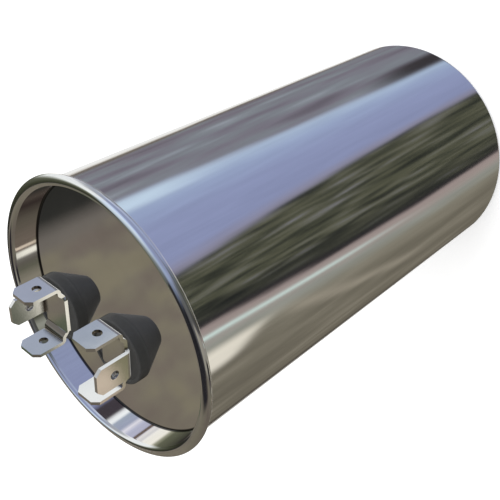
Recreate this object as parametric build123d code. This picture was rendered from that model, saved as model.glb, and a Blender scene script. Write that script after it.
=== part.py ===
"""Round motor run capacitor: a drawn can, a lid rolled into its mouth, two folded three-tab
terminals on flared insulators, and the film winding that the can holds.

Millimetres. The axis is Z and the closed end stands on z = 0. X runs through both terminals.
"""
import os
from math import ceil, cos, radians, sin

from build123d import *

# Can: one drawn cup whose mouth is turned outwards into a sloping flange
can_radius = 30.0
can_wall = 0.4
can_corner = 1.25  # outside round between the base and the wall
rim_height = 113.9  # base to the middle of the rim's edge

# Lid: one pressed pan whose edge is folded round the flange of the can
lid_sheet = 0.3
deck_depth = 5.8  # middle of the rim's edge down to the top of the deck
lid_fit = 0.05  # between the upright wall of the lid and the mouth of the can

# Rim: the flange of the can slopes down and outwards between the two layers of the lid's edge
rim_slope = 25.0  # in degrees
rim_reach = 0.93  # wall of the can to the middle of the rim's edge
rim_gap = 0.05  # between two layers of the rim
rim_squeeze = 0.2  # closing the rim presses the mouth of the can in by this much
squeeze_start = 1.2  # below the middle of the rim's edge
squeeze_height = 0.6
crown_round = 0.35  # middle of the lid's sheet, where it turns over the mouth of the can
flange_round = 0.3  # middle of the can's sheet, below the crown
lid_hold = 0.7  # straight end of the lid under the flange
round_step = 45.0  # largest turn from one chord of a round to the next, in degrees

# Terminals: where the pair stands on the deck
terminal_pitch = 19.0
pair_offset = (-1.1, -1.0)

# Insulators: a moulded neck that flares to a shallow dish, which holds the terminal
neck_radius = 2.5
neck_below_deck = 0.7
hole_fit = 0.1  # neck in the hole of the lid
foot_radius = 3.45
dish_overhang = 0.05  # dish past the outer faces of the tabs
dish_band = 2.6  # straight side of the dish, up to the top of its lip
dish_floor = 8.4  # deck to the floor of the dish
lip_height = 0.55
lip_width = 0.8
lip_chamfer = 0.35

# Terminal: one strip folded into an upper, a lower and a side tab, for 6.35 mm receptacles
tab_width = 6.35
tab_sheet = 0.8
tab_span = 14.4  # outer face to outer face of the upper and lower tab
tab_tip = 8.6  # back of the middle plate to the tips
tab_tip_chamfer = 1.2
tab_hole_radius = 1.0
tab_hole_from_tip = 4.2
tab_bend = 0.35  # inside round of a fold
plate_step = 0.95  # the middle plate lies this much deeper than the strips beside it
strip_run = 1.25  # middle of a tab's sheet to the slope that leads down to the middle plate
plate_ear = 0.6  # widening of the middle plate at its free edge
side_tab_reach = 4.43  # centre to the outer face of the side tab
side_tab_shift = 0.5  # side tab off the centre, towards the upper tab of the left terminal

# Rivet: welded under the middle plate, with its tail clinched under the lug
rivet_radius = 1.5
rivet_fit = 0.05
rivet_tail_radius = 2.4
rivet_tail_height = 0.8

# Stack under the deck, on each rivet
washer_radius = 5.2
washer_thickness = 1.0
bushing_radius = 4.8
bushing_thickness = 1.5
lug_thickness = 0.5
lug_radius = 3.0
lug_tongue = 6.0  # rivet to the middle of the tip
lug_tip_radius = 2.0

# Winding and what locates it in the can
inner_fit = 0.05  # plastic pieces inside the round of the can's corner
cup_wall = 1.0
cup_floor = 1.2
cup_rim = 12.0  # height of the cup
ledge_height = 2.4
ledge_width = 6.0
winding_fit = 0.2  # winding in the cup
core_radius = 4.0
core_wall = 0.9
core_fit = 0.05
core_rise = 2.0  # core above the winding
headroom = 12.4  # winding to the lid
spacer_wall = 3.0
spacer_fit = 0.2  # spacer under the deck

# Lead strips: tinned copper
strip_width = 3.0
strip_thickness = 0.3
strip_bend = 1.5
strip_lap = 2.4  # length that is soldered to a lug
strip_foot = 8.0  # length that is soldered to an end of the winding

# Levels and radii that follow from the values above
can_inside = can_radius - can_wall
deck_top = rim_height - deck_depth
deck_under = deck_top - lid_sheet
lid_wall_middle = can_inside - rim_squeeze - lid_fit - lid_sheet / 2
rim_edge = Vector(can_radius + rim_reach, rim_height)
rim_fold = lid_sheet / 2 + rim_gap + can_wall / 2
downhill = Vector(cos(radians(rim_slope)), -sin(radians(rim_slope)))
dish_radius = tab_span / 2 + dish_overhang
plate_half_length = tab_span / 2 - tab_sheet / 2 - strip_run - plate_step
bore_radius = rivet_radius + rivet_fit
washer_under = deck_under - washer_thickness
bushing_under = washer_under - bushing_thickness
lug_under = bushing_under - lug_thickness
plastic_radius = can_radius - can_corner - inner_fit
ledge_top = can_wall + cup_floor + ledge_height
winding_radius = plastic_radius - cup_wall - winding_fit
winding_top = deck_under - headroom
terminal_x = {"left": pair_offset[0] - terminal_pitch / 2, "right": pair_offset[0] + terminal_pitch / 2}
terminal_y = pair_offset[1]


def chords(centre, radius, start, end):
    """Points of a round, from one angle to another in degrees, no more than round_step apart."""
    count = ceil(abs(end - start) / round_step)
    angles = [radians(start + (end - start) * i / count) for i in range(count + 1)]
    return [Vector(centre[0] + radius * cos(a), centre[1] + radius * sin(a)) for a in angles]


def sheet_section(middle, thickness):
    """Outline of sheet metal of even thickness about its middle line, mitred at each bend."""
    points = [Vector(point) for point in middle]
    runs = [(b - a).normalized() for a, b in zip(points, points[1:])]
    sides = [Vector(-run.Y, run.X) for run in runs]
    mitres = [sides[0]] + [(a + b) / (1 + a.dot(b)) for a, b in zip(sides, sides[1:])] + [sides[-1]]
    left = [point + mitre * thickness / 2 for point, mitre in zip(points, mitres)]
    right = [point - mitre * thickness / 2 for point, mitre in zip(points, mitres)]
    return Polyline(*left, *reversed(right), close=True)


def turned(outline):
    """A closed outline of (radius, height), turned round the axis."""
    return revolve(Plane.XZ * make_face(outline), Axis.Z)


def ring(inside, outside, bottom, top):
    """A plain ring or tube."""
    return Pos(0, 0, bottom) * extrude(Circle(outside) - Circle(inside), top - bottom)


def disc(radius, bottom, top):
    """A plain disc or rod."""
    return Pos(0, 0, bottom) * extrude(Circle(radius), top - bottom)


def turn_over(wall, radius, above):
    """Points where sheet turns from an upright wall, at the radius wall, onto the slope of the rim, at
    the distance above from the middle of the flange."""
    centre_r = wall + radius
    slope_height = (above - radius) / downhill.X - (centre_r - rim_edge.X) * -downhill.Y / downhill.X
    return chords((centre_r, rim_edge.Y + slope_height), radius, 180, 90 - rim_slope)


def can():
    """Base, corner, wall, and the mouth pressed in a little and turned outwards into the flange."""
    corner = can_corner - can_wall / 2
    middle = can_radius - can_wall / 2
    mouth = middle - rim_squeeze
    return turned(sheet_section(
        [(0, can_wall / 2)]
        + chords((middle - corner, can_wall / 2 + corner), corner, -90, 0)
        + [(middle, rim_height - squeeze_start), (mouth, rim_height - squeeze_start + squeeze_height)]
        + turn_over(mouth, flange_round, 0)
        + [rim_edge],
        can_wall,
    ))


def lid():
    """Deck, upright wall, crown, and the edge folded round the flange of the can."""
    deck_middle = deck_top - lid_sheet / 2
    fold = chords((rim_edge.X, rim_edge.Y), rim_fold, 90 - rim_slope, -90 - rim_slope)
    pressed = turned(sheet_section(
        [(0, deck_middle), (lid_wall_middle, deck_middle)]
        + turn_over(lid_wall_middle, crown_round, rim_fold)
        + fold
        + [fold[-1] - downhill * lid_hold],
        lid_sheet,
    ))
    for x in terminal_x.values():
        pressed -= Pos(x, terminal_y, 0) * disc(neck_radius + hole_fit, deck_under - 1, deck_top + 1)
    return pressed


def insulator():
    """Neck, flare, band and lip of one insulator, standing on z = 0, with the rivet's bore."""
    lip_top = dish_floor + lip_height
    section = make_face(Polyline(
        (bore_radius, -lid_sheet - neck_below_deck),
        (neck_radius, -lid_sheet - neck_below_deck),
        (neck_radius, 0),
        (foot_radius, 0),
        (dish_radius, lip_top - dish_band),
        (dish_radius, lip_top),
        (dish_radius - lip_width, lip_top),
        (dish_radius - lip_width, dish_floor),
        (bore_radius, dish_floor),
        close=True,
    ))
    section = chamfer(section.vertices().sort_by_distance((dish_radius, lip_top))[0], lip_chamfer)
    return revolve(Plane.XZ * section, Axis.Z)


def tab_outline():
    """Front view of a tab, from the back of the plate to the tip, with its chamfered corners."""
    blank = Pos(0, tab_tip / 2) * Rectangle(tab_width, tab_tip)
    blank = chamfer(blank.vertices().group_by(Axis.Y)[-1], tab_tip_chamfer)
    return blank - Pos(0, tab_tip - tab_hole_from_tip) * Circle(tab_hole_radius)


def folded_strip(path, width, thickness, plane):
    """A strip of even thickness that follows a path of straight runs and round folds."""
    return extrude(plane * trace(path, thickness), width / 2, both=True)


def terminal():
    """One folded terminal with the back of its plate on z = 0 and its side tab towards -X."""
    fold = tab_bend + tab_sheet / 2
    tab_middle = tab_span / 2 - tab_sheet / 2
    side_middle = side_tab_reach - tab_sheet / 2
    plate_middle = tab_sheet / 2
    strip_middle = plate_middle + plate_step
    slope_end = plate_half_length + plate_step
    two_tabs = FilletPolyline(
        (-tab_middle, tab_tip),
        (-tab_middle, strip_middle),
        (-slope_end, strip_middle),
        (-plate_half_length, plate_middle),
        (plate_half_length, plate_middle),
        (slope_end, strip_middle),
        (tab_middle, strip_middle),
        (tab_middle, tab_tip),
        radius=fold,
    )
    side_tab = FilletPolyline((0, plate_middle), (-side_middle, plate_middle), (-side_middle, tab_tip), radius=fold)
    front_cut = extrude(Plane.XZ * tab_outline(), tab_span, both=True)
    side_cut = extrude(Plane.YZ * tab_outline(), tab_span, both=True)
    folded = folded_strip(two_tabs, tab_width, tab_sheet, Plane.YZ) & front_cut
    folded += Pos(0, side_tab_shift, 0) * (folded_strip(side_tab, tab_width, tab_sheet, Plane.XZ) & side_cut)
    ear = make_face(Polyline(
        (0, -plate_half_length),
        (tab_width / 2, -plate_half_length),
        (tab_width / 2 + plate_ear, plate_ear - plate_half_length),
        (tab_width / 2 + plate_ear, plate_half_length - plate_ear),
        (tab_width / 2, plate_half_length),
        (0, plate_half_length),
        close=True,
    ))
    return folded + extrude(ear, tab_sheet)


def rivet():
    """Shank from the back of the plate, and the clinched tail, placed with z = 0 on the deck."""
    tail_top = lug_under - deck_top
    tail = disc(rivet_tail_radius, tail_top - rivet_tail_height, tail_top)
    return disc(rivet_radius, tail_top, dish_floor) + tail


def lug():
    """Solder lug on z = 0, with its tongue towards -X."""
    outline = make_hull([Circle(lug_radius).edge(), Pos(-lug_tongue, 0) * Circle(lug_tip_radius).edge()])
    return extrude(outline - Circle(bore_radius), lug_thickness)


def bottom_cup():
    """Insulating cup: floor, rim and the ledge that carries the winding."""
    inside = plastic_radius - cup_wall
    return turned(Polyline(
        (0, can_wall),
        (plastic_radius, can_wall),
        (plastic_radius, can_wall + cup_rim),
        (inside, can_wall + cup_rim),
        (inside, ledge_top),
        (inside - ledge_width, ledge_top),
        (inside - ledge_width, can_wall + cup_floor),
        (0, can_wall + cup_floor),
        close=True,
    ))


def lead_strip(points):
    """Flat strip in the plane of the terminals, along straight runs joined by bends."""
    path = FilletPolyline(*points, radius=strip_bend)
    return Pos(0, terminal_y, 0) * folded_strip(path, strip_width, strip_thickness, Plane.XZ)


nodes = {
    "can": can(),
    "lid": lid(),
    "bottom_cup": bottom_cup(),
    "winding": ring(core_radius + core_fit, winding_radius, ledge_top, winding_top),
    "core_tube": ring(core_radius - core_wall, core_radius, ledge_top, winding_top + core_rise),
    "top_spacer": ring(plastic_radius - spacer_wall, plastic_radius, winding_top, deck_under - spacer_fit),
}

# The two terminals are alike: the right one is the left one turned by half a turn
for side, x in terminal_x.items():
    place = Pos(x, terminal_y, 0)
    turn = Rot(0, 0, 0 if side == "left" else 180)
    nodes["insulator_" + side] = place * Pos(0, 0, deck_top) * insulator()
    nodes["terminal_" + side] = place * Pos(0, 0, deck_top + dish_floor) * turn * terminal()
    nodes["rivet_" + side] = place * Pos(0, 0, deck_top) * rivet()
    nodes["sealing_washer_" + side] = place * ring(
        neck_radius + hole_fit, washer_radius, washer_under, deck_under
    )
    nodes["inner_bushing_" + side] = place * ring(bore_radius, bushing_radius, bushing_under, washer_under)
    nodes["lug_" + side] = place * Pos(0, 0, lug_under) * lug()

# The short strip joins the left lug to the upper end of the winding, the long one joins the right
# lug to the lower end through the core
tip = {side: x - lug_tongue - lug_tip_radius for side, x in terminal_x.items()}
under_lug = lug_under - strip_thickness / 2
upper_foot = winding_top + strip_thickness / 2
lower_foot = ledge_top - strip_thickness / 2
nodes["lead_strip_top"] = lead_strip([
    (tip["left"] + strip_lap, under_lug),
    (tip["left"], under_lug),
    (tip["left"], upper_foot),
    (tip["left"] + strip_foot, upper_foot),
])
nodes["lead_strip_bottom"] = lead_strip([
    (tip["right"] + strip_lap, under_lug),
    (tip["right"], under_lug),
    (tip["right"], lower_foot),
    (core_radius + strip_foot, lower_foot),
])

os.makedirs("parts", exist_ok=True)
for name, shape in nodes.items():
    export_step(shape, f"parts/{name}.step")
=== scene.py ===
"""Looks of the round motor capacitor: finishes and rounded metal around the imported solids."""
from math import pi, radians

import bmesh
import bpy
import numpy as np
from mathutils import Matrix, Vector


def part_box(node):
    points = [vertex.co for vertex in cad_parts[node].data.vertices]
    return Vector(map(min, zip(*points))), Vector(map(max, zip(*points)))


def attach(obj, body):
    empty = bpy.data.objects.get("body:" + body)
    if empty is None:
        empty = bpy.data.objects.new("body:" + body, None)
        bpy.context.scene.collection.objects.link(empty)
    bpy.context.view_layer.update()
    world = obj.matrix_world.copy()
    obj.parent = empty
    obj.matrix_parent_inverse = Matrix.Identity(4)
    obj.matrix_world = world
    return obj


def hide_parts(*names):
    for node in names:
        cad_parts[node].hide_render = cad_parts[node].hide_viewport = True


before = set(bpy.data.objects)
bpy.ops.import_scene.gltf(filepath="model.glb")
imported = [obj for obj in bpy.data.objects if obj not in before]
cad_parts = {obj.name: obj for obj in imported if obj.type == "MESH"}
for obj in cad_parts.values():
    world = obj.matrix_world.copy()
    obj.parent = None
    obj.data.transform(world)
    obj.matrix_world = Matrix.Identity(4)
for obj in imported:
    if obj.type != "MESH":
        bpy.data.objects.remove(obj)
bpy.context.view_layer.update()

# Camera: a long lens that looks down past the terminals, rolled until the closed end points to the
# upper right of the picture.
camera_place = Vector((0.09943, 0.10102, 0.18627))
view_line = Vector((-0.532277, -0.563786, -0.631526))
picture_up = Vector((-0.407020, 0.824534, -0.393037))
lens_length = 55.424

camera = bpy.data.objects.new("camera", bpy.data.cameras.new("camera"))
bpy.context.scene.collection.objects.link(camera)
camera_axes = Matrix((view_line.cross(picture_up), picture_up, -view_line)).transposed()
camera.matrix_world = Matrix.Translation(camera_place) @ camera_axes.to_4x4()
camera.data.lens = lens_length
camera.data.clip_start = 0.005
bpy.context.scene.camera = camera
bpy.context.scene.view_settings.view_transform = "Standard"


# Surroundings: what the polished metal mirrors. Upright cloths of grey, blue, white, olive and brown
# hang round the capacitor in four storeys, with smaller patches pinned over them. The camera sees
# plain white, and matt surfaces get plain soft light.
def linear(red, green, blue):
    """A colour of 0 to 255 as written in a picture, made linear: ((c + 0.055) / 1.055) ** 2.4 above
    0.04045, and c / 12.92 below it."""
    parts = np.array([red, green, blue]) / 255
    parts = np.where(parts > 0.04045, ((parts + 0.055) / 1.055) ** 2.4, parts / 12.92)
    return (*parts.tolist(), 1.0)


def node(tree, kind, inputs=None, **settings):
    """One shader node. An input is a plain value, or a socket that is linked to it."""
    made = tree.nodes.new(kind)
    for name, value in settings.items():
        setattr(made, name, value)
    for name, value in (inputs or {}).items():
        if isinstance(value, bpy.types.NodeSocket):
            tree.links.new(value, made.inputs[name])
        else:
            made.inputs[name].default_value = value
    return made


def maths(tree, operation, first, second=0.0, third=0.0):
    """The result of one operation on up to three values."""
    return node(tree, "ShaderNodeMath", {0: first, 1: second, 2: third}, operation=operation).outputs[0]


def fade(tree, value, start, end):
    """0 before start, 1 after end, and smooth between them."""
    return node(
        tree,
        "ShaderNodeMapRange",
        {"Value": value, "From Min": start, "From Max": end},
        interpolation_type="SMOOTHSTEP",
    ).outputs["Result"]


def blend(tree, share, first, second):
    """Two colours mixed by a share from 0 to 1."""
    mixed = node(tree, "ShaderNodeMix", {"Factor": share}, data_type="RGBA")
    for socket, value in ((mixed.inputs[6], first), (mixed.inputs[7], second)):
        if isinstance(value, bpy.types.NodeSocket):
            tree.links.new(value, socket)
        else:
            socket.default_value = value
    return mixed.outputs[2]


def ramp(tree, value, stops):
    """A colour along a list of (place, colour) stops."""
    made = node(tree, "ShaderNodeValToRGB", {"Fac": value})
    elements = made.color_ramp.elements
    elements[0].position, elements[0].color = stops[0]
    elements[1].position, elements[1].color = stops[-1]
    for place, colour in stops[1:-1]:
        elements.new(place).color = colour
    return made.outputs["Color"]


def product(tree, *values):
    """All the values multiplied together."""
    result = values[0]
    for value in values[1:]:
        result = maths(tree, "MULTIPLY", result, value)
    return result


def tones(tree, value, stops):
    """A colour ramp whose colours are written as in a picture."""
    return ramp(tree, value, [(at, linear(*colour)) for at, colour in stops])


def noise(tree, place, size, detail, roughness=0.5):
    """Cloudy values from 0 to 1 over a place, finer for a larger size."""
    inputs = {"Vector": place, "Scale": size, "Detail": detail, "Roughness": roughness}
    return node(tree, "ShaderNodeTexNoise", inputs).outputs["Fac"]


def shaded(tree, colour, shade):
    """A colour multiplied by a shade about 1."""
    return node(tree, "ShaderNodeVectorMath", {0: colour, 1: shade}, operation="MULTIPLY").outputs[0]


camera_bearing = radians(46)
world = bpy.data.worlds.new("surroundings")
bpy.context.scene.world = world
world.use_nodes = True
tree = world.node_tree
tree.nodes.clear()
way = node(tree, "ShaderNodeTexCoord").outputs["Generated"]
turned_way = node(
    tree, "ShaderNodeVectorRotate", {"Vector": way, "Angle": -camera_bearing}, rotation_type="Z_AXIS"
).outputs["Vector"]
parts = node(tree, "ShaderNodeSeparateXYZ", {"Vector": turned_way}).outputs
level = parts["Z"]
around = maths(tree, "MULTIPLY_ADD", maths(tree, "ARCTAN2", parts["Y"], parts["X"]), 0.5 / pi, 0.5)


def turn(degrees):
    """A place in degrees as a share of the whole turn: 0 at -180 and 1 at 180."""
    return (degrees + 180) / 360


def storey(tree, value, cloths):
    """The cloths of one storey, by degrees round the axis from the camera's side."""
    return tones(tree, value, [(turn(at), colour) for at, colour in cloths])


def cloud(tree, stretch, size, detail=4.0):
    """Noise over all directions, stretched by a factor for each axis."""
    place = node(tree, "ShaderNodeMapping", {"Vector": turned_way, "Scale": stretch}).outputs["Vector"]
    return noise(tree, place, size, detail, 0.6)


def pinned(tree, cloths, colour, value, first, last, soft, *heights, share=1.0):
    """The cloths with a patch pinned over them, between two places round the turn. Each pair of heights
    fades it in from the first to the second. Its colour is plain or comes from another ramp."""
    cover = product(
        tree,
        fade(tree, value, turn(first - soft), turn(first + soft)),
        fade(tree, value, turn(last + soft), turn(last - soft)),
        *[fade(tree, level, start, end) for start, end in heights],
        share,
    )
    return blend(tree, cover, cloths, linear(*colour) if isinstance(colour, tuple) else colour)


# Low storey, which the can's wall mirrors. The cloths' edges wander, and lean round by some degrees on
# the way down.
low_cloths = [
    # White, then brown in shade
    (-180, (238, 238, 234)),
    (-161, (228, 226, 222)),
    (-156, (180, 176, 170)),
    (-152, (70, 64, 58)),
    (-146, (76, 70, 62)),
    # Olive, which grows paler towards the trees
    (-140, (104, 98, 86)),
    (-115, (114, 108, 95)),
    (-90, (120, 115, 101)),
    (-70, (132, 128, 114)),
    (-60, (146, 148, 140)),
    (-52, (160, 148, 142)),
    (-45, (156, 142, 138)),
    # Dark trees
    (-42, (36, 34, 38)),
    (-34, (52, 54, 50)),
    (-5, (78, 80, 66)),
    # Blue
    (3, (140, 138, 158)),
    (12, (139, 147, 182)),
    (40, (143, 152, 187)),
    (60, (152, 166, 198)),
    (73, (172, 190, 214)),
    (77, (160, 170, 190)),
    # Grey
    (80, (124, 124, 134)),
    (105, (130, 134, 144)),
    (128, (120, 120, 122)),
    (137, (104, 94, 84)),
    # White
    (142, (226, 223, 216)),
    (147, (240, 240, 238)),
    (180, (240, 240, 238)),
]
cloth_leans = [(-180, 0), (-50, -17), (5, 17), (75, -12), (140, 13), (180, 0)]
full_lean = 60
lean_heights = (-0.49, -0.85)
edge_wander = 0.022

fine_cloud = cloud(tree, (1.0, 1.0, 0.3), 26.0, 5.0)
wide_cloud = cloud(tree, (1.0, 1.0, 0.55), 7.0)
leans = ramp(
    tree, around, [(turn(at), (0.5 + lean / full_lean,) * 3 + (1.0,)) for at, lean in cloth_leans]
)
lean = product(tree, maths(tree, "SUBTRACT", leans, 0.5), full_lean / 360)
upright = maths(tree, "SUBTRACT", around, product(tree, lean, fade(tree, level, *lean_heights)))
ragged = maths(tree, "MULTIPLY_ADD", maths(tree, "SUBTRACT", fine_cloud, 0.5), edge_wander, upright)
leaves = tones(tree, fine_cloud, [
    (0.32, (26, 28, 30)),
    (0.42, (50, 53, 46)),
    (0.51, (80, 81, 66)),
    (0.58, (102, 102, 84)),
    (0.65, (112, 112, 114)),
    (0.76, (146, 145, 160)),
])
haze = tones(tree, wide_cloud, [
    (0.30, (94, 86, 96)),
    (0.44, (120, 114, 126)),
    (0.56, (126, 132, 138)),
    (0.70, (162, 168, 178)),
])
earth = tones(tree, wide_cloud, [(0.3, (92, 87, 77)), (0.5, (114, 109, 96)), (0.7, (140, 134, 120))])
low = storey(tree, ragged, low_cloths)
low = pinned(tree, low, leaves, ragged, -38, -1, 3)
low = pinned(tree, low, (30, 31, 34), ragged, -42, -30, 3, share=0.5)
low = pinned(tree, low, haze, ragged, 81, 133, 2, share=0.8)
low = pinned(tree, low, earth, ragged, -146, -72, 6, share=0.7)
# A pale slit beside the trees, a cream gap with a slanting end, and a streak that slants away from it
low = pinned(tree, low, (206, 226, 220), upright, -53.5, -50.5, 1.5, (-0.80, -0.66))
gap_end = maths(tree, "MULTIPLY_ADD", maths(tree, "SUBTRACT", around, turn(-66)), 1.3, level)
gap_share = fade(tree, gap_end, -0.635, -0.60)
low = pinned(tree, low, (230, 224, 209), upright, -82, -65, 4, share=gap_share)
slant = maths(tree, "MULTIPLY_ADD", maths(tree, "ADD", level, 0.67), -0.85, ragged)
low = pinned(
    tree, low, (168, 160, 144), slant, -84, -74, 6, (-0.78, -0.73), (-0.60, -0.66), share=0.6
)
# A glint on the blue cloth, and a shadow at its foot
low = pinned(tree, low, (206, 226, 242), upright, 64, 76, 3, (-0.66, -0.56), share=0.7)
low = pinned(tree, low, (54, 50, 52), around, 68, 86, 5, (-0.785, -0.825))

# Middle storey, which the tabs and the recess of the lid mirror: a dark cord between white cloths, and
# a beige and a cream strip, which turn olive further down and grey further up
middle_cloths = [
    # Brown
    (-180, (46, 44, 41)),
    (-160, (70, 62, 56)),
    (-148, (50, 42, 39)),
    (-125, (88, 82, 72)),
    (-93, (112, 100, 90)),
    # A cream strip
    (-91, (242, 238, 224)),
    (-87.2, (236, 232, 218)),
    # Olive, with a dark fold and a pale one
    (-85, (112, 107, 101)),
    (-80, (92, 88, 80)),
    (-75, (92, 91, 78)),
    (-64, (132, 126, 112)),
    (-31, (60, 60, 46)),
    (-23.5, (146, 147, 136)),
    (-8, (82, 84, 76)),
    # Blue
    (2, (141, 150, 180)),
    (60, (138, 145, 180)),
    # Black, beside white
    (66, (66, 60, 66)),
    (78, (66, 60, 66)),
    (81, (236, 238, 240)),
    (85, (246, 250, 250)),
    # Blue grey in folds
    (87, (162, 172, 188)),
    (96, (160, 166, 188)),
    (100, (232, 230, 238)),
    (104, (186, 188, 208)),
    (115, (176, 176, 196)),
    # White
    (118, (234, 230, 226)),
    (122, (206, 204, 206)),
    (126, (244, 241, 232)),
    (136, (244, 240, 228)),
    # Olive
    (140, (150, 150, 130)),
    (146, (98, 100, 82)),
    (180, (46, 44, 41)),
]
middle = storey(tree, around, middle_cloths)
middle = pinned(tree, middle, (104, 90, 82), around, 112.5, 116, 0.8)
middle = pinned(tree, middle, (208, 192, 173), around, -97.2, -94.4, 0.6)
middle = pinned(tree, middle, (124, 121, 96), around, -100, -93.5, 1, (-0.425, -0.455))
middle = pinned(tree, middle, (100, 102, 90), around, -93, -82, 1, (-0.42, -0.378))

# High storey, which the deck mirrors: a stained brown cloth, a plain blue one under a dark shelf, and
# a strip of moss
high_cloths = [
    # Brown
    (-180, (120, 114, 102)),
    (-150, (114, 109, 95)),
    (-110, (100, 92, 84)),
    (-90, (112, 108, 95)),
    # Black, a pale strip and dark grey
    (-78, (84, 78, 76)),
    (-74, (44, 43, 44)),
    (-63, (44, 43, 44)),
    (-60, (138, 134, 126)),
    (-48, (146, 142, 135)),
    (-44, (134, 129, 123)),
    (-40, (76, 74, 76)),
    (-30, (70, 69, 68)),
    (-8, (84, 87, 80)),
    # Blue
    (4, (104, 112, 120)),
    (17, (148, 157, 186)),
    (40, (162, 174, 199)),
    (60, (182, 190, 211)),
    (70, (196, 204, 220)),
    # Grey, then white
    (78, (164, 169, 180)),
    (92, (166, 170, 178)),
    (99, (190, 193, 196)),
    (106, (236, 238, 239)),
    (128, (238, 241, 239)),
    # Dark olive
    (136, (150, 153, 142)),
    (140, (92, 94, 80)),
    (150, (64, 66, 52)),
    (160, (46, 47, 36)),
    (168, (42, 42, 40)),
    (170.3, (43, 43, 41)),
    # Brown
    (171.6, (108, 103, 98)),
    (180, (120, 114, 102)),
]
stains = cloud(tree, (1.0, 1.0, 1.0), 26.0, 2.0)
stained = tones(tree, stains, [(0.38, (110, 101, 94)), (0.5, (118, 112, 100)), (0.6, (127, 121, 103))])
stain_share = product(
    tree, fade(tree, parts["X"], -0.78, -0.84), fade(tree, parts["Y"], 0.125, 0.105), 0.85
)
high = storey(tree, around, high_cloths)
high = blend(tree, stain_share, high, stained)
high = pinned(tree, high, (143, 152, 182), around, 28, 84, 6, (0.24, 0.42))
high = pinned(tree, high, (82, 84, 84), around, -44, 30, 5, (0.48, 0.58), (0.74, 0.68), share=0.95)
high = pinned(tree, high, (80, 90, 72), around, 177.6, 179.8, 0.3, (0.438, 0.428), share=0.9)

# Top storey, which the rim mirrors, and the sky over it
top_cloths = [
    # Black
    (-180, (56, 58, 60)),
    (-150, (30, 30, 34)),
    (-125, (30, 30, 32)),
    # Grey
    (-105, (52, 50, 52)),
    (-88, (86, 86, 88)),
    (-35, (94, 94, 90)),
    (-8, (100, 104, 110)),
    # Blue, palest at the far side
    (6, (138, 146, 174)),
    (60, (137, 143, 178)),
    (78, (144, 156, 190)),
    (95, (178, 194, 226)),
    (112, (212, 226, 248)),
    (130, (209, 222, 233)),
    (150, (188, 202, 212)),
    (166, (138, 146, 150)),
    (180, (84, 88, 90)),
]
top = storey(tree, around, top_cloths)
sky_share = product(tree, fade(tree, level, 0.92, 0.99), fade(tree, parts["Y"], -0.20, 0.04), 0.8)
top = blend(tree, sky_share, top, linear(146, 159, 188))

# The four storeys joined, each fading into the next between two heights, with a black cloth and a pale
# one over the upper two. Their brightness is a little uneven.
low_to_middle = (-0.485, -0.472)
middle_to_high = (-0.362, -0.30)
high_to_top = (0.72, 0.82)
unevenness = 0.35
soft_light = (0.9, 0.9, 0.9, 1.0)
plain_white = (1.0, 1.0, 1.0, 1.0)

cloths = blend(tree, fade(tree, level, *low_to_middle), low, middle)
cloths = blend(tree, fade(tree, level, *middle_to_high), cloths, high)
cloths = blend(tree, fade(tree, level, *high_to_top), cloths, top)
cloths = pinned(tree, cloths, (38, 37, 40), around, -200, -109.8, 16.2, (0.60, 0.70), (0.92, 0.84))
cloths = pinned(tree, cloths, (147, 143, 132), around, -82, -47, 4, (0.42, 0.48), (0.85, 0.80))
shade = maths(tree, "MULTIPLY_ADD", maths(tree, "SUBTRACT", fine_cloud, 0.5), unevenness, 1.0)
mirrored = shaded(tree, cloths, shade)
rays = node(tree, "ShaderNodeLightPath").outputs
lit = blend(tree, rays["Is Glossy Ray"], soft_light, mirrored)
seen = blend(tree, rays["Is Camera Ray"], lit, plain_white)
background = node(tree, "ShaderNodeBackground", {"Color": seen, "Strength": 1.0})
node(tree, "ShaderNodeOutputWorld", {"Surface": background.outputs[0]})

# Floor: a plain white sheet that the closed end stands on. It keeps the shadow, and glows a little
# to the camera, so that it stays white. The polished metal shows the cloths in its place.
floor_half = 1.5
floor_glow = 0.35
floor_mesh = bpy.data.meshes.new("floor")
floor_corners = np.array([(-1, -1, 0), (1, -1, 0), (1, 1, 0), (-1, 1, 0)]) * floor_half
floor_mesh.from_pydata(floor_corners.tolist(), [], [(0, 1, 2, 3)])
floor = bpy.data.objects.new("floor", floor_mesh)
bpy.context.scene.collection.objects.link(floor)
floor.visible_glossy = False
floor_paint = bpy.data.materials.new("floor_paint")
floor_paint.use_nodes = True
tree = floor_paint.node_tree
floor_shader = tree.nodes["Principled BSDF"]
floor_shader.inputs["Base Color"].default_value = (0.93, 0.93, 0.93, 1.0)
floor_shader.inputs["Roughness"].default_value = 0.9
floor_shader.inputs["Specular IOR Level"].default_value = 0.0
glow = maths(tree, "MULTIPLY", node(tree, "ShaderNodeLightPath").outputs["Is Camera Ray"], floor_glow)
tree.links.new(glow, floor_shader.inputs["Emission Strength"])
floor_shader.inputs["Emission Color"].default_value = plain_white
floor_mesh.materials.append(floor_paint)

# Lamp: one wide soft box from the upper left of the picture, aimed at the can's upper half. It lights
# the matt surfaces alone, as the polished metal shows only the cloths.
lamp_place = Vector((-0.15, 0.35, 0.45))
lamp_target = Vector((0, 0, 0.1))
lamp_data = bpy.data.lights.new("soft_box", "AREA")
lamp_data.shape = "RECTANGLE"
lamp_data.size = 0.5
lamp_data.size_y = 0.4
lamp_data.energy = 1.5
lamp = bpy.data.objects.new("soft_box", lamp_data)
bpy.context.scene.collection.objects.link(lamp)
lamp.location = lamp_place
lamp.rotation_mode = "QUATERNION"
lamp.rotation_quaternion = (lamp_target - lamp_place).to_track_quat("-Z", "Y")
lamp.visible_glossy = False


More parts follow.
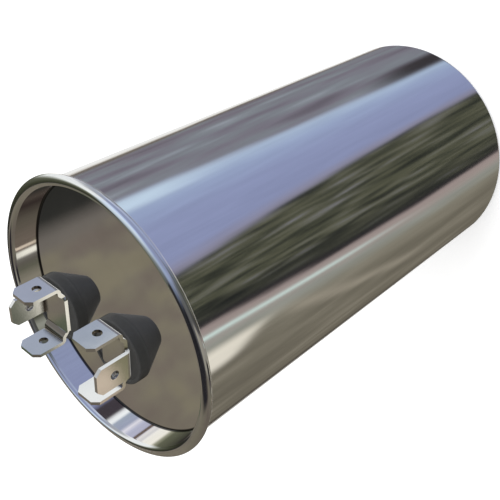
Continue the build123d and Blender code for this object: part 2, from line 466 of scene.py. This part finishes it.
# Can: one cup, deep drawn from aluminium sheet and polished bright, with fine lines along its wall.
# Its open end is drawn in a little and turned out into a sloping flange. The lid's edge is folded
# round that flange, which closes the can.
def arc(centre, radius, start, end, steps):
    """Points of a round: centre + radius * (cos a, sin a) for a from start to end, in degrees."""
    a = np.radians(np.linspace(start, end, steps + 1))
    return np.stack([centre[0] + radius * np.cos(a), centre[1] + radius * np.sin(a)], axis=1)


def straight(start, end, close=0.0001):
    """Both ends of a straight run, each with one more point close to it, so that shading stays flat."""
    start, end = np.array(start, float), np.array(end, float)
    step = (end - start) / np.linalg.norm(end - start) * close
    return np.stack([start, start + step, (start + end) / 2, end - step, end])


def sheet_outline(middle, thickness):
    """Closed outline of bent sheet: its middle line moved half the thickness to each side, along the
    normal n = (-t.y, t.x) of the line's direction t."""
    kept = np.concatenate([[True], np.linalg.norm(np.diff(middle, axis=0), axis=1) > 1e-7])
    middle = middle[kept]
    runs = np.diff(middle, axis=0)
    runs /= np.linalg.norm(runs, axis=1, keepdims=True)
    before, after = np.vstack([runs[:1], runs]), np.vstack([runs, runs[-1:]])
    sides = np.stack([-(before + after)[:, 1], (before + after)[:, 0]], axis=1)
    sides /= 1 + np.sum(before * after, axis=1, keepdims=True)
    return np.vstack([middle + sides * thickness / 2, (middle - sides * thickness / 2)[::-1]])


def make_piece(name, vertices, faces):
    """A smooth-shaded mesh object at the origin, with its faces turned outwards."""
    mesh = bpy.data.meshes.new(name)
    mesh.from_pydata(vertices.tolist(), [], faces)
    mesh.validate()
    built = bmesh.new()
    built.from_mesh(mesh)
    bmesh.ops.remove_doubles(built, verts=built.verts, dist=1e-7)
    bmesh.ops.recalc_face_normals(built, faces=built.faces)
    built.to_mesh(mesh)
    built.free()
    mesh.shade_smooth()
    piece = bpy.data.objects.new(name, mesh)
    piece.visible_glossy = False
    bpy.context.scene.collection.objects.link(piece)
    return piece


def turned(name, outline, centre=(0.0, 0.0), steps=256):
    """A closed outline of (r, z) turned round an upright axis: (cx + r cos v, cy + r sin v, z).
    Points on the axis become one pole each."""
    v = np.linspace(0, 2 * pi, steps, endpoint=False)
    r, z = outline[:, :1], outline[:, 1:]
    points = np.stack(
        [centre[0] + r * np.cos(v), centre[1] + r * np.sin(v), z + 0 * v], axis=-1
    ).reshape(-1, 3)
    count = len(outline)
    i, j = np.meshgrid(np.arange(count), np.arange(steps), indexing="ij")
    quads = np.stack(
        [
            i * steps + j,
            i * steps + (j + 1) % steps,
            (i + 1) % count * steps + (j + 1) % steps,
            (i + 1) % count * steps + j,
        ],
        axis=-1,
    ).reshape(-1, 4)
    on_axis = outline[:, 0] < 1e-9
    quads = quads[~(on_axis[i.ravel()] & on_axis[(i.ravel() + 1) % count])]
    merged = np.arange(len(points))
    for ring in np.flatnonzero(on_axis):
        merged[ring * steps:(ring + 1) * steps] = ring * steps
    faces = [list(dict.fromkeys(quad)) for quad in merged[quads].tolist()]
    return make_piece(name, points, faces)


def finish_of(name):
    """A new material, with its nodes and its shader."""
    material = bpy.data.materials.new(name)
    material.use_nodes = True
    return material, material.node_tree, material.node_tree.nodes["Principled BSDF"]


def grain_group():
    """Fine grain in metal: noise, once coarse and once fine, as a height and as a shade about 1. It
    becomes lines where Vector is squeezed along one axis."""
    group = bpy.data.node_groups.new("metal_grain", "ShaderNodeTree")
    group.interface.new_socket("Vector", in_out="INPUT", socket_type="NodeSocketVector")
    for name, value in (("Lines per metre", 3000.0), ("Depth", 0.1)):
        socket = group.interface.new_socket(name, in_out="INPUT", socket_type="NodeSocketFloat")
        socket.default_value = value
    for name in ("Height", "Shade"):
        group.interface.new_socket(name, in_out="OUTPUT", socket_type="NodeSocketFloat")
    given = group.nodes.new("NodeGroupInput").outputs
    lines = given["Lines per metre"]
    fine = noise(group, given["Vector"], lines, 3.0, 0.6)
    coarse = noise(group, given["Vector"], maths(group, "MULTIPLY", lines, 0.09), 2.0)
    height = maths(group, "MULTIPLY_ADD", coarse, 0.7, maths(group, "MULTIPLY", fine, 0.3))
    shade = maths(group, "MULTIPLY_ADD", maths(group, "SUBTRACT", height, 0.5), given["Depth"], 1.0)
    made = node(group, "NodeGroupOutput")
    group.links.new(height, made.inputs["Height"])
    group.links.new(shade, made.inputs["Shade"])
    return group


metal_grain = grain_group()


def grained(tree, shader, place, lines, depth, spread, smoothest):
    """Makes a shader metal with a fine grain. Its roughness is smoothest + spread * height. Gives the
    grain's height, and the shade that the metal's colour is multiplied by."""
    grain = node(
        tree,
        "ShaderNodeGroup",
        {"Vector": place, "Lines per metre": lines, "Depth": depth},
        node_tree=metal_grain,
    ).outputs
    roughness = maths(tree, "MULTIPLY_ADD", grain["Height"], spread, smoothest)
    tree.links.new(roughness, shader.inputs["Roughness"])
    shader.inputs["Metallic"].default_value = 1.0
    return grain["Height"], grain["Shade"]


def embossed(tree, shader, height, strength, depth=0.00005):
    """Joins a height to a shader as a slight relief."""
    bump = node(tree, "ShaderNodeBump", {"Height": height, "Strength": strength, "Distance": depth})
    tree.links.new(bump.outputs["Normal"], shader.inputs["Normal"])


# In the picture the metal mirrors its surroundings alone, and no piece shows in another
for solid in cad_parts.values():
    solid.visible_glossy = False

can_radius = 0.030
can_sheet = 0.0004
can_corner = 0.00105
can_wall = can_radius - can_sheet / 2
draw_in = 0.0002
mouth = can_wall - draw_in
shoulder = np.linspace(0.1127, 0.1133, 4)
shoulder_round = 0.00006
edge_reach = 0.00093
edge_height = 0.1139
rim_edge = np.array([can_radius + edge_reach, edge_height])
rim_slope = 25
downhill = np.array([np.cos(np.radians(rim_slope)), -np.sin(np.radians(rim_slope))])
uphill_normal = np.array([-downhill[1], downhill[0]])


def turn_over(wall, radius, above):
    """Centre of the round where sheet turns from the upright line r = wall onto the slope of the rim.
    It lies on the line that is radius below the slope's own line: (c - edge) . n = above - radius."""
    level = (above - radius - (wall + radius - rim_edge[0]) * uphill_normal[0]) / uphill_normal[1]
    return np.array([wall + radius, rim_edge[1] + level])


flange_round = 0.0003
flange_turn = turn_over(mouth, flange_round, 0)
halfway_in = (can_wall + mouth) / 2
can_middle = np.vstack([
    straight((0, can_sheet / 2), (can_wall - can_corner, can_sheet / 2)),
    arc((can_wall - can_corner, can_sheet / 2 + can_corner), can_corner, -90, 0, steps=12),
    straight((can_wall, can_sheet / 2 + can_corner), (can_wall, shoulder[0])),
    [(halfway_in + shoulder_round, shoulder[1]), (halfway_in - shoulder_round, shoulder[2])],
    straight((mouth, shoulder[3]), (mouth, flange_turn[1])),
    arc(flange_turn, flange_round, 180, 90 - rim_slope, steps=12),
    straight(flange_turn + uphill_normal * flange_round, rim_edge),
])
can = turned("can_polished", sheet_outline(can_middle, can_sheet))

bright_colour = (0.93, 0.93, 0.935)
bright_metal, tree, shader = finish_of("bright_metal")
place = node(tree, "ShaderNodeTexCoord").outputs["Object"]
line_stretch = (1.0, 1.0, 0.015)
lengthwise = node(tree, "ShaderNodeMapping", {"Vector": place, "Scale": line_stretch}).outputs["Vector"]
height, shade = grained(tree, shader, lengthwise, lines=2600.0, depth=0.16, spread=0.08, smoothest=0.05)
tree.links.new(shaded(tree, bright_colour, shade), shader.inputs["Base Color"])
embossed(tree, shader, height, 0.04)
can.data.materials.append(bright_metal)
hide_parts("can")
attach(can, "root")


# Lid: one pan, pressed from thin tinned sheet, with a satin deck and a bright wall and rim. Its edge
# runs over the rim's crown and down the slope, and is folded once round the can's flange. The two
# necks of the insulators pass through it.
lid_sheet = 0.0003
rim_gap = 0.00005
lid_wall = mouth - can_sheet / 2 - rim_gap - lid_sheet / 2
lid_corner = 0.00035
deck_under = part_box("lid")[0].z
deck_top = deck_under + lid_sheet
crown_round = 0.0008
rim_fold = lid_sheet / 2 + rim_gap + can_sheet / 2
lid_hold = 0.0007
neck_hole = 0.0026
sharp_turn = radians(40)

crown_turn = turn_over(lid_wall, crown_round, rim_fold)
fold_end = rim_edge - uphill_normal * rim_fold
# The slope swells a little between the crown and the fold: an arc that leaves each at the same angle
rim_swell = 15
out_of_crown = 90 - rim_slope + rim_swell
into_fold = 90 - rim_slope - rim_swell
crown_end = arc(crown_turn, crown_round, out_of_crown, 90, steps=1)[0]
fold_start = arc(rim_edge, rim_fold, into_fold, 90, steps=1)[0]
swell_round = np.linalg.norm(fold_start - crown_end) / 2 / np.sin(radians(rim_swell))
swell_depth = swell_round * np.cos(radians(rim_swell))
swell_centre = (crown_end + fold_start) / 2 - uphill_normal * swell_depth
lid_middle = np.vstack([
    straight((0, deck_top - lid_sheet / 2), (lid_wall - lid_corner, deck_top - lid_sheet / 2)),
    arc((lid_wall - lid_corner, deck_top - lid_sheet / 2 + lid_corner), lid_corner, -90, 0, steps=10),
    straight((lid_wall, deck_top - lid_sheet / 2 + lid_corner), (lid_wall, crown_turn[1])),
    arc(crown_turn, crown_round, 180, out_of_crown, steps=16),
    arc(swell_centre, swell_round, out_of_crown, into_fold, steps=24),
    arc(rim_edge, rim_fold, into_fold, -90 - rim_slope, steps=24),
    straight(fold_end, fold_end - downhill * lid_hold),
])
lid = turned("lid_pressed", sheet_outline(lid_middle, lid_sheet))

insulator_places = {}
for side in ("left", "right"):
    low_corner, high_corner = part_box("insulator_" + side)
    insulator_places[side] = (low_corner + high_corner) / 2


def cut_round_holes(piece, centres, radius, reach=0.002, steps=64):
    """Upright round holes through a piece: each takes away a rod of points (radius cos a, radius sin a)
    that reaches as far above its centre as below it."""
    a = np.linspace(0, 2 * pi, steps, endpoint=False)
    rim = np.stack([radius * np.cos(a), radius * np.sin(a), 0 * a], axis=1)
    side = [(i, (i + 1) % steps, steps + (i + 1) % steps, steps + i) for i in range(steps)]
    ends = [tuple(reversed(range(steps))), tuple(range(steps, 2 * steps))]
    for centre in centres:
        points = np.vstack([rim - (0, 0, reach), rim + (0, 0, reach)]) + np.array(centre)
        rod = make_piece("rod", points, side + ends)
        cut = piece.modifiers.new("hole", "BOOLEAN")
        cut.operation = "DIFFERENCE"
        cut.object = rod
        cut.solver = "EXACT"
        graph = bpy.context.evaluated_depsgraph_get()
        with_hole = bpy.data.meshes.new_from_object(piece.evaluated_get(graph))
        piece.modifiers.clear()
        piece.data = with_hole
        bpy.data.objects.remove(rod)
    piece.data.set_sharp_from_angle(angle=sharp_turn)


neck_centres = [(centre.x, centre.y, deck_top) for centre in insulator_places.values()]
cut_round_holes(lid, neck_centres, neck_hole)


def around_axis(tree, place):
    """How far a place is from the can's axis, sqrt(x * x + y * y), and its height."""
    parts = node(tree, "ShaderNodeSeparateXYZ", {"Vector": place}).outputs
    flat = node(tree, "ShaderNodeCombineXYZ", {"X": parts["X"], "Y": parts["Y"]}).outputs[0]
    far = node(tree, "ShaderNodeVectorMath", {0: flat}, operation="LENGTH").outputs["Value"]
    return far, parts["Z"]


# The deck is satin, and a painted shade darkens the inside corner where it turns up into the wall
lid_metal, tree, shader = finish_of("lid_metal")
place = node(tree, "ShaderNodeTexCoord").outputs["Object"]
from_axis, level = around_axis(tree, place)
on_deck = product(
    tree,
    fade(tree, level, deck_top + 0.0006, deck_top + 0.0002),
    fade(tree, from_axis, lid_wall, lid_wall - 0.0004),
)
painted_corner_shade = product(
    tree,
    fade(tree, level, deck_top + 0.0006, deck_top + 0.0003),
    fade(tree, from_axis, lid_wall - 0.0007, lid_wall - 0.0004),
)
height, shade = grained(tree, shader, place, lines=2200.0, depth=0.10, spread=0.05, smoothest=0.03)
lid_colour_and_painted_shade = blend(tree, on_deck, (*bright_colour, 1), (0.97, 0.96, 0.94, 1))
# Painted shade: near black along the corner between deck and wall
lid_colour_and_painted_shade = blend(tree, painted_corner_shade, lid_colour_and_painted_shade, (0.06, 0.06, 0.06, 1))
tree.links.new(shaded(tree, lid_colour_and_painted_shade, shade), shader.inputs["Base Color"])
embossed(tree, shader, height, 0.06)
lid.data.materials.clear()
lid.data.materials.append(lid_metal)
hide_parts("lid")
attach(lid, "root")


# Insulators: two black necks, moulded from hard plastic, with painted light that makes the shank paler
# and painted shade that darkens their edges. Each passes through the lid and flares to a shallow dish
# for the terminal, and the rivet through its bore holds it down.
neck_radius = 0.0025
foot_radius = 0.00345
bore_radius = 0.00155
dish_band = 0.0026
dish_lip = 0.00055
lip_width = 0.0008
neck_round = 0.0003
foot_round = 0.0002
dish_round = 0.0005
lip_round = 0.00035
lip_inner_round = 0.00015
floor_round = 0.0001
dish_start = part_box("insulator_left")[1].z - dish_band


def rounded(corners, steps=8, long_side=0.0004, close=0.00004):
    """Closed outline through corners of (r, z, radius), each taken off by an arc of that radius. The
    arc touches both sides radius * tan(sweep / 2) from the corner. Long sides get points close to their
    ends."""
    places = np.array(corners, float)[:, :2]
    radii = np.array(corners, float)[:, 2]
    pieces = []
    neighbours = np.roll(places, 1, axis=0), places, np.roll(places, -1, axis=0)
    for before, corner, after, radius in zip(*neighbours, radii):
        if radius == 0:
            pieces.append(corner[None])
            continue
        to_before = (before - corner) / np.linalg.norm(before - corner)
        to_after = (after - corner) / np.linalg.norm(after - corner)
        half = np.arccos(np.clip(to_before @ to_after, -1, 1)) / 2
        middle = to_before + to_after
        centre = corner + middle / np.linalg.norm(middle) * radius / np.sin(half)
        first = corner + to_before * radius / np.tan(half) - centre
        last = corner + to_after * radius / np.tan(half) - centre
        share = np.linspace(0, 1, steps + 1)[:, None]
        sweep = pi - 2 * half
        along = np.sin((1 - share) * sweep) * first + np.sin(share * sweep) * last
        pieces.append(centre + along / np.sin(sweep))
    loop = np.vstack(pieces)
    ends = np.roll(loop, -1, axis=0)
    lengths = np.linalg.norm(ends - loop, axis=1)
    filled = []
    for start, end, length in zip(loop, ends, lengths):
        filled.append(start[None] if length < long_side else straight(start, end, close)[:-1])
    return np.vstack(filled)


black_plastic, tree, shader = finish_of("black_plastic")
place = node(tree, "ShaderNodeTexCoord").outputs["Object"]
mottle = noise(tree, place, 900.0, 4.0)
pits = noise(tree, place, 5200.0, 2.0)
charcoal_and_painted_light = blend(tree, mottle, linear(56, 56, 55), linear(67, 67, 66))
# Painted light: the shank and cone face down and get less light, so they are made paler than the dish
painted_light_shank = blend(tree, mottle, linear(74, 74, 73), linear(86, 86, 85))
level = node(tree, "ShaderNodeSeparateXYZ", {"Vector": place}).outputs["Z"]
charcoal_and_painted_light = blend(tree, fade(tree, level, dish_start + 0.0008, dish_start - 0.0008), charcoal_and_painted_light, painted_light_shank)
# Painted shade: near black where the surface turns edge-on to the view
painted_edge_shade = fade(tree, node(tree, "ShaderNodeLayerWeight", {"Blend": 0.5}).outputs["Facing"], 0.72, 0.95)
tree.links.new(blend(tree, painted_edge_shade, charcoal_and_painted_light, linear(24, 24, 25)), shader.inputs["Base Color"])
tree.links.new(maths(tree, "MULTIPLY_ADD", pits, 0.2, 0.42), shader.inputs["Roughness"])
shader.inputs["Specular IOR Level"].default_value = 0.35
embossed(tree, shader, pits, 0.25, 0.00006)

for side, middle in insulator_places.items():
    low_corner, high_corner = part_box("insulator_" + side)
    lip_top = high_corner.z
    dish_radius = (high_corner.x - low_corner.x) / 2
    dish_floor = lip_top - dish_lip
    body = rounded([
        (bore_radius, low_corner.z, 0),
        (neck_radius, low_corner.z, neck_round),
        (neck_radius, deck_top, 0),
        (foot_radius, deck_top, foot_round),
        (dish_radius, lip_top - dish_band, dish_round),
        (dish_radius, lip_top, lip_round),
        (dish_radius - lip_width, lip_top, lip_inner_round),
        (dish_radius - lip_width, dish_floor, floor_round),
        (bore_radius, dish_floor, 0),
    ])
    insulator = turned("insulator_moulded_" + side, body, (middle.x, middle.y), steps=160)
    insulator.visible_shadow = False
    insulator.data.materials.append(black_plastic)
    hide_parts("insulator_" + side)
    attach(insulator, "root")


# Terminals: each one strip of tinned brass, blanked with softened edges, folded into an upper, a lower
# and a side tab, and riveted down in the insulator's dish.
edge_round = 0.00007
tab_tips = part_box("terminal_left")[1].z

tinned_brass, tree, shader = finish_of("tinned_brass")
place = node(tree, "ShaderNodeTexCoord").outputs["Object"]
height, shade = grained(tree, shader, place, lines=3400.0, depth=0.12, spread=0.06, smoothest=0.04)
tin_and_painted_shade = shaded(tree, (0.90, 0.895, 0.885), shade)
# Painted shade: dark in the folds' inner corners, and darker over the folds' outer rounds, well below
# the tips
painted_shade_occlusion = node(tree, "ShaderNodeAmbientOcclusion", {"Distance": 0.002}, samples=8, only_local=True)
painted_fold_shade = fade(tree, painted_shade_occlusion.outputs["AO"], 0.92, 0.64)
tin_and_painted_shade = blend(tree, painted_fold_shade, tin_and_painted_shade, (0.06, 0.05, 0.04, 1))
normal = node(tree, "ShaderNodeNewGeometry").outputs["Normal"]
upward = node(tree, "ShaderNodeSeparateXYZ", {"Vector": normal}).outputs["Z"]
level = node(tree, "ShaderNodeSeparateXYZ", {"Vector": place}).outputs["Z"]
# Painted shade over the folds' outer rounds, picked out by the slant of the surface
painted_bend_shade = product(
    tree,
    fade(tree, upward, 0.15, 0.35),
    fade(tree, upward, 0.97, 0.88),
    fade(tree, level, tab_tips - 0.0040, tab_tips - 0.0055),
)
tree.links.new(blend(tree, painted_bend_shade, tin_and_painted_shade, (0.20, 0.18, 0.16, 1)), shader.inputs["Base Color"])
embossed(tree, shader, height, 0.10)


def softened(name, solid, width):
    """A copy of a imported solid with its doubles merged, its flat faces whole again and every edge
    over 40 degrees rounded by a two-step bevel."""
    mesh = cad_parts[solid].data.copy()
    mesh.name = name
    built = bmesh.new()
    built.from_mesh(mesh)
    bmesh.ops.remove_doubles(built, verts=built.verts, dist=1e-6)
    bmesh.ops.dissolve_limit(built, angle_limit=radians(1), verts=built.verts, edges=built.edges)
    inner = [edge for edge in built.edges if len(edge.link_faces) == 2]
    bmesh.ops.bevel(
        built,
        geom=[edge for edge in inner if edge.calc_face_angle() > sharp_turn],
        offset=width,
        offset_type="OFFSET",
        segments=2,
        profile=0.5,
        affect="EDGES",
        clamp_overlap=True,
    )
    bmesh.ops.recalc_face_normals(built, faces=built.faces)
    built.to_mesh(mesh)
    built.free()
    mesh.materials.clear()
    piece = bpy.data.objects.new(name, mesh)
    piece.visible_glossy = False
    piece.visible_shadow = False
    bpy.context.scene.collection.objects.link(piece)
    mesh.shade_smooth()
    even = piece.modifiers.new("flat_faces", "WEIGHTED_NORMAL")
    even.mode = "FACE_AREA"
    even.weight = 100
    return piece


for side in ("left", "right"):
    terminal = softened("terminal_folded_" + side, "terminal_" + side, edge_round)
    terminal.data.materials.append(tinned_brass)
    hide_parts("terminal_" + side)
    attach(terminal, "root")


# Rivets: turned brass, plated bright. Each has its head under the terminal's plate, passes down the
# insulator's bore and is spread below the lug, which clamps the whole stack to the lid.
def painted(names, material):
    """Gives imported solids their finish."""
    for name in names:
        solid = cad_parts[name]
        solid.data.materials.clear()
        solid.data.materials.append(material)


plated_brass, tree, shader = finish_of("plated_brass")
place = node(tree, "ShaderNodeTexCoord").outputs["Object"]
height, shade = grained(tree, shader, place, lines=3000.0, depth=0.3, spread=0.2, smoothest=0.25)
tree.links.new(shaded(tree, (0.60, 0.59, 0.58), shade), shader.inputs["Base Color"])
painted(["rivet_left", "rivet_right"], plated_brass)

# Sealing washers: black rubber rings, cut from tube. The rivets press them against the underside of
# the lid, round each insulator's neck, which keeps the filling in.
seal_rubber, tree, shader = finish_of("seal_rubber")
bloom = noise(tree, node(tree, "ShaderNodeTexCoord").outputs["Object"], 1500.0, 5.0)
tree.links.new(blend(tree, bloom, linear(28, 28, 28), linear(48, 47, 46)), shader.inputs["Base Color"])
tree.links.new(maths(tree, "MULTIPLY_ADD", bloom, 0.2, 0.65), shader.inputs["Roughness"])
painted(["sealing_washer_left", "sealing_washer_right"], seal_rubber)

# Inner bushings, bottom cup, top spacer and core tube: pale polypropylene, moulded in one piece each.
# The bushings sit on the rivets, the cup carries the winding, the spacer lies on it, and the film is
# wound on the tube.
pale_plastic, tree, shader = finish_of("pale_plastic")
flow = noise(tree, node(tree, "ShaderNodeTexCoord").outputs["Object"], 260.0, 4.0)
natural = blend(tree, flow, linear(205, 203, 192), linear(226, 225, 217))
tree.links.new(natural, shader.inputs["Base Color"])
tree.links.new(maths(tree, "MULTIPLY_ADD", flow, 0.15, 0.38), shader.inputs["Roughness"])
shader.inputs["Subsurface Weight"].default_value = 0.1
shader.inputs["Subsurface Radius"].default_value = (0.001, 0.001, 0.0009)
painted(["inner_bushing_left", "inner_bushing_right"], pale_plastic)
painted(["bottom_cup", "top_spacer", "core_tube"], pale_plastic)

# Solder lugs and lead strips: copper strip, stamped and tinned, with a warm cast where the tin is
# thin. The rivets hold the lugs, and a strip runs from each to one end of the winding.
tinned_copper, tree, shader = finish_of("tinned_copper")
thin_tin = noise(tree, node(tree, "ShaderNodeTexCoord").outputs["Object"], 700.0, 4.0)
warm = blend(tree, fade(tree, thin_tin, 0.5, 0.75), (0.72, 0.71, 0.69, 1), (0.78, 0.60, 0.48, 1))
tree.links.new(warm, shader.inputs["Base Color"])
tree.links.new(maths(tree, "MULTIPLY_ADD", thin_tin, 0.25, 0.2), shader.inputs["Roughness"])
shader.inputs["Metallic"].default_value = 1.0
painted(["lug_left", "lug_right", "lead_strip_top", "lead_strip_bottom"], tinned_copper)

# Winding: metallised plastic film, wound hard round the core tube. Its two ends are sprayed with zinc,
# which joins the turns, and the film's edges show there as fine rings.
ring_density = 30000.0
wound_film, tree, shader = finish_of("wound_film")
place = node(tree, "ShaderNodeTexCoord").outputs["Object"]
from_axis = around_axis(tree, place)[0]
turns = maths(tree, "SINE", maths(tree, "MULTIPLY", from_axis, ring_density))
normal = node(tree, "ShaderNodeNewGeometry").outputs["Normal"]
upward = node(tree, "ShaderNodeSeparateXYZ", {"Vector": normal}).outputs["Z"]
on_end = fade(tree, maths(tree, "ABSOLUTE", upward), 0.4, 0.6)
spray = noise(tree, place, 2400.0, 5.0)
end_colour = blend(tree, spray, linear(120, 120, 118), linear(172, 171, 168))
tree.links.new(blend(tree, on_end, linear(196, 194, 184), end_colour), shader.inputs["Base Color"])
tree.links.new(maths(tree, "MULTIPLY_ADD", on_end, 0.4, 0.25), shader.inputs["Roughness"])
relief = product(tree, on_end, maths(tree, "MULTIPLY_ADD", turns, 0.3, spray))
embossed(tree, shader, relief, 0.4, 0.0001)
painted(["winding"], wound_film)
